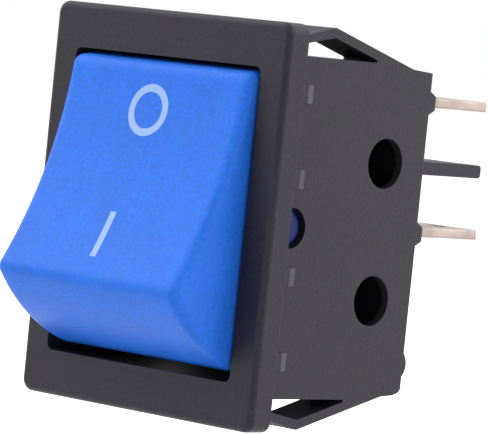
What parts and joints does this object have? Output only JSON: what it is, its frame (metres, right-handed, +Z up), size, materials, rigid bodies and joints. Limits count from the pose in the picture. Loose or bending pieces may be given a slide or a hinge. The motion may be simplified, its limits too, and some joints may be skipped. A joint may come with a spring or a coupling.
{
  "type": "panel rocker switch",
  "caption": "Snap-in panel rocker switch: rectangular bezel, tilting rocker with sprung plungers that rock contact levers between tab terminals on a deep moulded body.",
  "frame": {"origin": "centre of the bezel's back face, in the plane that lies on the panel", "axes": "+X to the right and +Z up as seen from the front, +Y to the rear, through the panel"},
  "size_m": [0.0256, 0.0373, 0.0316],
  "materials": {
    "housing_plastic": "charcoal moulding with a fine satin grain",
    "rocker_plastic": "bright blue satin moulding with printed pale signs",
    "plunger_plastic": "off-white slippery moulding",
    "spring_steel": "bright drawn wire",
    "lever_brass": "stamped brass strip",
    "contact_silver": "dull silver alloy",
    "terminal_tinned": "stamped brass with a thin warm tin plating"
  },
  "bodies": {
    "housing": {"housing": "housing_plastic", "left_common_terminal": "terminal_tinned", "right_common_terminal": "terminal_tinned", "left_switched_terminal": "terminal_tinned", "right_switched_terminal": "terminal_tinned", "left_fixed_contact": "contact_silver", "right_fixed_contact": "contact_silver"},
    "rocker": {"rocker": "rocker_plastic", "left_spring": "spring_steel", "right_spring": "spring_steel"},
    "left_plunger": {"left_plunger": "plunger_plastic"},
    "right_plunger": {"right_plunger": "plunger_plastic"},
    "left_lever": {"left_contact_lever": "lever_brass", "left_moving_contact": "contact_silver"},
    "right_lever": {"right_contact_lever": "lever_brass", "right_moving_contact": "contact_silver"}
  },
  "joints": [
    {"name": "rocker_hinge", "type": "hinge", "parent": "housing", "child": "rocker", "pos_m": [0, 0.0022, 0], "axis": [1, 0, 0], "range_deg": [0, 40]},
    {"name": "left_plunger_slide", "type": "slide", "parent": "rocker", "child": "left_plunger", "axis": [0, -0.9397, 0.342], "range_m": [0, 0.001], "stiffness_N_per_m": 500, "springref_m": -0.004, "deforming": ["left_spring"]},
    {"name": "right_plunger_slide", "type": "slide", "parent": "rocker", "child": "right_plunger", "axis": [0, -0.9397, 0.342], "range_m": [0, 0.001], "stiffness_N_per_m": 500, "springref_m": -0.004, "deforming": ["right_spring"]},
    {"name": "left_lever_hinge", "type": "hinge", "parent": "housing", "child": "left_lever", "pos_m": [-0.00525, 0.01331, 0], "axis": [1, 0, 0], "range_deg": [-16, 0]},
    {"name": "right_lever_hinge", "type": "hinge", "parent": "housing", "child": "right_lever", "pos_m": [0.00525, 0.01331, 0], "axis": [1, 0, 0], "range_deg": [-16, 0]}
  ],
  "couplings": [
    {"joint": "left_lever_hinge", "follows": "rocker_hinge", "ratio": -0.4},
    {"joint": "right_lever_hinge", "follows": "rocker_hinge", "ratio": -0.4}
  ]
}
